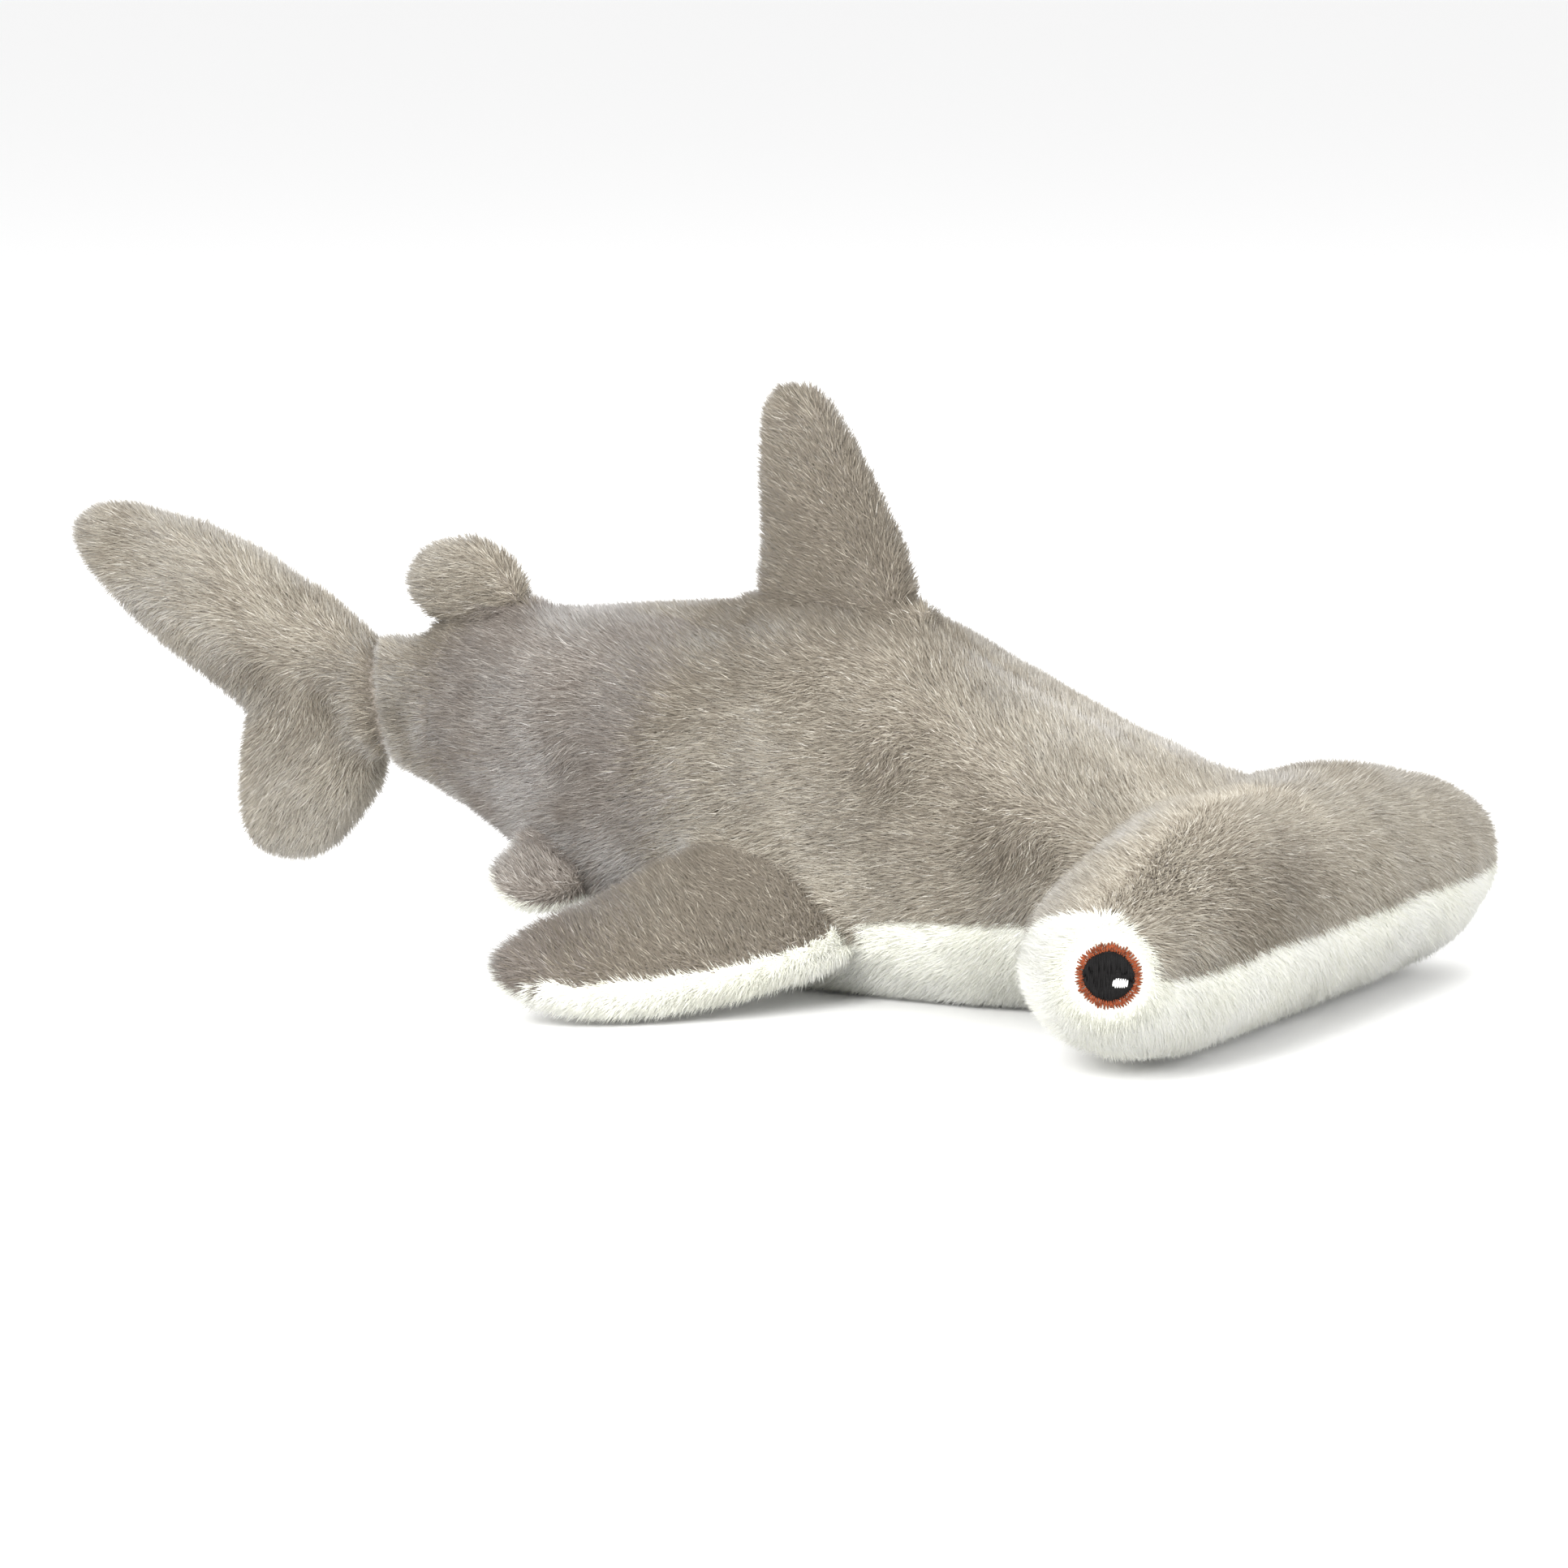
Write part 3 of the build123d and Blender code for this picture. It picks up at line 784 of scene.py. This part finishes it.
# Painted light (above 0) and painted shade (below 0) on each kind of fin's grey pile.
FIN_LIGHT_AND_SHADE = {"pectoral": -2.5, "pelvic": 0.3, "dorsal": -0.3, "second_dorsal": 0.6}


def grey_tones(points, dark, fin_light_and_shade, rng):
    """Soft patches of nearby tones, cooler on the back between the dorsal fin and the tail stock, with
    painted shade in folds and painted light and shade on brushed nap and on the fins.
    """
    patch = 0.6 * waves(points, 55 * MM, 11) + 0.28 * waves(points, 16 * MM, 12)
    # dark is painted shade, in folds beside other forms and in the crease at the tail fin.
    shade = 1.6 + fin_light_and_shade + 0.7 * patch + rng.normal(0, 0.85, len(points)) - 1.8 * dark
    # Painted light and shade where the brushed nap looks lighter or darker.
    for middle, radius, change in NAP_LIGHT_AND_SHADE:
        shade += change * bump(np.linalg.norm(points - np.array(middle), axis=1), radius)
    tone = np.clip(np.round(shade), 0, SPARKLE_TONE - 1).astype(int)
    # Painted sparkle on a share of the hairs.
    sparkling = rng.random(len(points)) < SPARKLE_SHARE
    tone[sparkling] = np.minimum(tone[sparkling] + 2, SPARKLE_TONE)
    x = points[:, 0] + 0.16 * (points[:, 2] - 50 * MM) + 6 * MM * waves(points, 30 * MM, 14)
    cool = smooth(30 * MM, 2 * MM, x) * smooth(-68 * MM, -40 * MM, x) * (points[:, 2] < COOL_BELOW_Z)
    tone[rng.random(len(points)) < cool] += FIRST_COOL
    return tone


def cream_tones(points, dark, rng):
    """White pile, with painted shade round the eyes and in folds, and painted light on the hammer."""
    # Painted shade round each eye.
    for eye in EYES.values():
        away = np.linalg.norm(points - eye.face, axis=1)
        dark = dark + 1.6 * smooth(eye.iris + 9 * MM, eye.iris, away)
    shade = 1.1 + 0.4 * waves(points, 30 * MM, 13) + rng.normal(0, 0.6, len(points)) - dark
    # Painted light on the hammer's white pile.
    shade += 0.6 * smooth(HAMMER_BACK, HAMMER_MIDDLE, points[:, 0])
    last = len(CREAM_TONES) - 1
    return FIRST_CREAM + np.clip(np.round(shade), 0, last).astype(int)


def cream_at(points, normals, white_way):
    """Whether the fabric at each point is the white one.

    It rises as a patch behind each eye. white_way is the direction in which a fin's white
    underside wraps up over its edge, or None.
    """
    cream = IS_CREAM[panel_at(points)]
    for eye in EYES.values():
        gap = points - eye.face
        behind = gap @ eye.forward
        away = np.sqrt((0.35 * behind) ** 2 + gap[:, 2] ** 2 + (0.4 * (gap @ eye.look)) ** 2)
        cream |= (behind < 0) & (away < PATCH_RADIUS)
    if white_way is not None and cream.any():
        cream |= (normals @ white_way > 0.1) & (normals[:, 2] < 0.34)
    return cream


# ---------------------------------------------------------------- pile
HAIR_FACES = np.array([(0, 1, 3), (1, 2, 3), (2, 0, 3)])
HAIR_RISE = 46           # degrees from the cloth
HAIR_RADII = (0.12, 0.18)  # at the root, in mm
FOLD_REACH = 6 * MM      # how near another form has to be to matter to a hair


def depth_inside(tree, points, reach):
    """How far each point is inside a form, and a negative number outside it."""
    result = np.full(len(points), -1.0)
    for index, point in enumerate(points.tolist()):
        near, normal, _, away = tree.find_nearest(point, reach)
        if near is not None:
            result[index] = away * (1 if (Vector(point) - near).dot(normal) < 0 else -1)
    return result


def sample(mesh, per_mm2, rng):
    """Evenly scattered points on a mesh, with the surface's direction there."""
    points, triangles = arrays(mesh)
    normals = vertex_normals(mesh)
    a, b, c = (points[triangles[:, i]] for i in range(3))
    areas = np.linalg.norm(np.cross(b - a, c - a), axis=1) / 2
    total = np.cumsum(areas)
    count = int(total[-1] * 1e6 * per_mm2)
    picks = (np.arange(count) + rng.random(count)) / count * total[-1]
    face = np.minimum(np.searchsorted(total, picks), len(triangles) - 1)
    u, v = rng.random(count), rng.random(count)
    fold = u + v > 1
    u[fold], v[fold] = 1 - u[fold], 1 - v[fold]
    share = np.stack([1 - u - v, u, v], axis=1)[:, :, None]
    corners = triangles[face]
    return (points[corners] * share).sum(axis=1), unit((normals[corners] * share).sum(axis=1))


def strands(roots, normals, nap, length, rng):
    """Tapered three-sided hairs that lean along the nap, as four corners each."""
    count = len(roots)
    flow = unit(nap - normals * (nap * normals).sum(axis=1, keepdims=True))
    across = np.cross(normals, flow)
    turn = 0.30 * waves(roots, 34 * MM, 5) + 0.16 * waves(roots, 10 * MM, 6) + rng.normal(0, 0.30, count)
    rise = rng.normal(HAIR_RISE, 10, count) + 6 * waves(roots, 16 * MM, 8)
    for middle, radius in BRUSHED:
        near = bump(np.linalg.norm(roots - np.array(middle), axis=1), radius)
        turn += 1.4 * near
        rise -= 16 * near
    turn, rise = turn[:, None], np.radians(rise)[:, None]
    flow = flow * np.cos(turn) + across * np.sin(turn)
    lean = flow * np.cos(rise) + normals * np.sin(rise)
    length = (length * rng.uniform(0.68, 1.12, count))[:, None]
    base = roots - normals * 0.3 * MM
    side = unit(np.cross(lean, normals) + rng.normal(0, 0.3, (count, 3)))
    top = unit(np.cross(side, lean))
    thick = rng.uniform(*HAIR_RADII, (count, 1)) * MM
    corners = []
    for angle in (math.pi / 2, math.pi * 7 / 6, math.pi * 11 / 6):
        corners.append(base + (side * math.cos(angle) + top * math.sin(angle)) * thick)
    corners.append(base + lean * length)
    hairs = np.stack(corners, axis=1)
    # The pile under the belly is pressed flat just over the floor.
    low = hairs[:, :, 2]
    hairs[:, :, 2] = np.maximum(low, 0.25 * MM + 0.25 * MM * (low > 0))
    return hairs


def in_folds(roots, others):
    """Which roots are outside other forms, and from 0 to 1 how near they are to the fold there, which
    sets the painted shade and the shorter pile in the fold.
    """
    clear = np.ones(len(roots), bool)
    dark = np.zeros(len(roots))
    for other in others:
        depth = depth_inside(other, roots, FOLD_REACH)
        clear &= depth < 0.4 * MM
        dark = np.maximum(dark, smooth(-2.0 * MM, -0.3 * MM, depth) * (depth > -0.9))
    return clear, dark


def clear_of_eyes(roots):
    """Which roots aren't under the embroidery."""
    clear = np.ones(len(roots), bool)
    for eye in EYES.values():
        out, away = out_and_away(eye, roots)
        clear &= (away > eye.iris * 1.01) | (np.abs(out) > 6 * MM)
    return clear


def parted_round_eyes(roots, length, flow):
    """Pile that is clipped short round the eyes and lies away from them."""
    for eye in EYES.values():
        gap = roots - eye.face
        away = np.linalg.norm(gap, axis=1)
        length = length * (0.4 + 0.6 * smooth(eye.iris, eye.iris + 5 * MM, away))
        flow = flow + unit(gap) * bump(away, eye.iris * 1.5)[:, None] * 1.5
    return length, flow


def shaded_at_crease(roots, length, dark):
    """Pile that is shorter and has painted shade in the fold at the tail fin."""
    ahead = ahead_of_crease(roots)
    length = length * (0.4 + 0.6 * smooth(0, 5 * MM, np.where(ahead > 0, ahead, -2 * ahead)))
    return length, np.maximum(dark, 1.6 * bump(ahead, 1.8 * MM))


def pile_piece(name, hairs, tones):
    """One piece of pile from its hairs' corners, their materials and which of them are white."""
    faces = (HAIR_FACES[None] + 4 * np.arange(len(hairs))[:, None, None]).reshape(-1, 3)
    mesh = make_mesh(name, hairs.reshape(-1, 3), faces)
    for material in PILE_MATERIALS:
        mesh.materials.append(material)
    mesh.polygons.foreach_set("material_index", np.repeat(tones, len(HAIR_FACES)).astype(np.int32))
    mesh.update()
    piece = place(name, mesh)
    return piece


def pile(name, piece, nap, carry, seed, hidden_in, creased=False, white_way=None, fin_light_and_shade=0.0):
    """Covers a form with pile, split into pieces of a modest size. carry bakes each one's placement into
    its mesh.
    """
    rng = np.random.default_rng(seed)
    roots, normals = sample(piece.data, PILE_PER_MM2, rng)
    clear, dark = in_folds(roots, hidden_in)
    keep = clear & clear_of_eyes(roots)
    roots, normals, dark = roots[keep], normals[keep], dark[keep]
    uneven_seam = roots + rng.normal(0, 0.25 * MM, roots.shape)
    cream = cream_at(uneven_seam, normals, white_way)
    length = np.where(cream, CREAM_LENGTH, PILE_LENGTH) * (1 - 0.25 * dark)
    length, flow = parted_round_eyes(roots, length, nap(roots))
    if creased:
        length, dark = shaded_at_crease(roots, length, dark)
    hairs = strands(roots, normals, flow, length, rng)
    grey = grey_tones(roots, dark, fin_light_and_shade, rng)
    tones = np.where(cream, cream_tones(roots, dark, rng), grey)
    order = np.argsort(roots[:, 0], kind="stable")
    pieces = max(1, math.ceil(len(order) / STRANDS_PER_PIECE))
    for number, chosen in enumerate(np.array_split(order, pieces)):
        carry(pile_piece(f"{name}_{number + 1:02d}", hairs[chosen], tones[chosen]))


# ---------------------------------------------------------------- covering pieces
def colour_faces(mesh, white_way=None):
    """Grey or cream backing on each face, after the CAD panel it lies on."""
    mesh.materials.clear()
    mesh.materials.append(GREY_BACKING)
    mesh.materials.append(CREAM_BACKING)
    cream = cream_at(of_faces(mesh, "center"), of_faces(mesh, "normal"), white_way)
    mesh.polygons.foreach_set("material_index", cream.astype(np.int32))
    mesh.polygons.foreach_set("use_smooth", np.full(len(mesh.polygons), True))
    mesh.update()


def cut(piece, name, keep_front):
    """The part of a form in front of, or behind, the split on the tail stock, closed at the cut."""
    work = bmesh.new()
    work.from_mesh(piece.data)
    bmesh.ops.bisect_plane(
        work,
        geom=[*work.verts, *work.edges, *work.faces],
        plane_co=(TAIL_SPLIT_X, 0, 0),
        plane_no=(1, 0, 0),
        clear_inner=keep_front,
        clear_outer=not keep_front,
    )
    bmesh.ops.holes_fill(work, edges=[edge for edge in work.edges if edge.is_boundary])
    mesh = bpy.data.meshes.new(name)
    work.to_mesh(mesh)
    work.free()
    return place(name, mesh)


def carry_front(part):
    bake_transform(part)


def carry_rear(part):
    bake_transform(part)


def carry_fin(body):
    origin, _, outward = fin_root(body)

    def carry(part):
        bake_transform(part)

    return carry


def white_way_of(body):
    """Towards the front edge of a pectoral fin, where its white underside shows."""
    along = fin_root(body)[1]
    return along * np.sign(along[0]) if "pectoral" in body else None


whole_tree = tree_of(whole)
fin_trees = {body: tree_of(piece) for body, piece in forms.items()}
front = cut(whole, "body_covering", True)
rear = cut(whole, "tail_covering", False)
bpy.data.objects.remove(whole)

colour_faces(front.data)
colour_faces(rear.data)
pile("body_pile", front, body_nap, carry_front, 101, list(fin_trees.values()), creased=True)
pile("tail_pile", rear, body_nap, carry_rear, 102, [fin_trees["second_dorsal_fin"]], creased=True)
for number, (body, piece) in enumerate(forms.items()):
    way = white_way_of(body)
    colour_faces(piece.data, way)
    fin_light_and_shade = FIN_LIGHT_AND_SHADE[body.split("_fin")[0]]
    pile(
        body + "_pile", piece, fin_nap(body), carry_fin(body), 110 + number, [whole_tree],
        white_way=way, fin_light_and_shade=fin_light_and_shade,
    )

carry_front(front)
carry_rear(rear)
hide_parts(*[node for node in BODIES["torso"] if "eye_" not in node], *BODIES["tail"])
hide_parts(*BODIES["caudal_fin"])
for body, piece in forms.items():
    piece.name = body + "_covering"
    carry_fin(body)(piece)
    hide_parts(*BODIES[body])

# ---------------------------------------------------------------- floor, light and camera
FLOOR_HALF = 60          # metres, so that its far edge is as good as the horizon
FLOOR_ALBEDO = 0.94
WORLD_BRIGHTNESS = 0.98
LIGHT_TARGET = (0, 0, 0.05)
CAMERA_AZIMUTH = math.radians(30)
CAMERA_ELEVATION = math.radians(9)
CAMERA_DISTANCE = 1.3
CAMERA_TARGET = Vector((0.0276, 0, 0.0422))
VIEW_WIDTH = 0.3578      # metres across the frame at the target
SENSOR_WIDTH = 36


def floor():
    corners = np.array([(-1, -1, 0), (1, -1, 0), (1, 1, 0), (-1, 1, 0)], float) * FLOOR_HALF
    mesh = make_mesh("floor", corners, np.array([(0, 1, 2, 3)]))
    material = bpy.data.materials.new("floor")
    material.use_nodes = True
    shader = material.node_tree.nodes["Principled BSDF"]
    shader.inputs["Base Color"].default_value = (FLOOR_ALBEDO, FLOOR_ALBEDO, FLOOR_ALBEDO, 1)
    shader.inputs["Roughness"].default_value = 0.9
    mesh.materials.append(material)
    place("floor", mesh)


def soft_light(name, location, size, power):
    light = bpy.data.lights.new(name, "AREA")
    light.shape = "DISK"
    light.size = size
    light.energy = power
    lamp = place(name, light)
    lamp.location = location
    aim = Vector(LIGHT_TARGET) - Vector(location)
    lamp.rotation_euler = aim.to_track_quat("-Z", "Y").to_euler()


def world():
    surroundings = bpy.data.worlds.new("studio")
    surroundings.use_nodes = True
    background = surroundings.node_tree.nodes["Background"]
    background.inputs["Color"].default_value = (1, 1, 1, 1)
    background.inputs["Strength"].default_value = WORLD_BRIGHTNESS
    bpy.context.scene.world = surroundings
    bpy.context.scene.view_settings.view_transform = "Standard"


def camera():
    data = bpy.data.cameras.new("camera")
    data.sensor_width = SENSOR_WIDTH
    data.lens = data.sensor_width * CAMERA_DISTANCE / VIEW_WIDTH
    view = place("camera", data)
    level = math.cos(CAMERA_ELEVATION)
    back = Vector((
        math.sin(CAMERA_AZIMUTH) * level,
        -math.cos(CAMERA_AZIMUTH) * level,
        math.sin(CAMERA_ELEVATION),
    ))
    view.location = CAMERA_TARGET + back * CAMERA_DISTANCE
    view.rotation_euler = (-back).to_track_quat("-Z", "Y").to_euler()
    bpy.context.scene.camera = view


floor()
soft_light("key", (0.1, -1.7, 0.9), 0.9, 38)
soft_light("fill", (1.6, -0.6, 0.8), 1.0, 15)
soft_light("top", (0.0, 0.3, 1.8), 1.4, 7)
soft_light("back", (-0.6, 1.5, 1.0), 1.0, 15)
world()
camera()
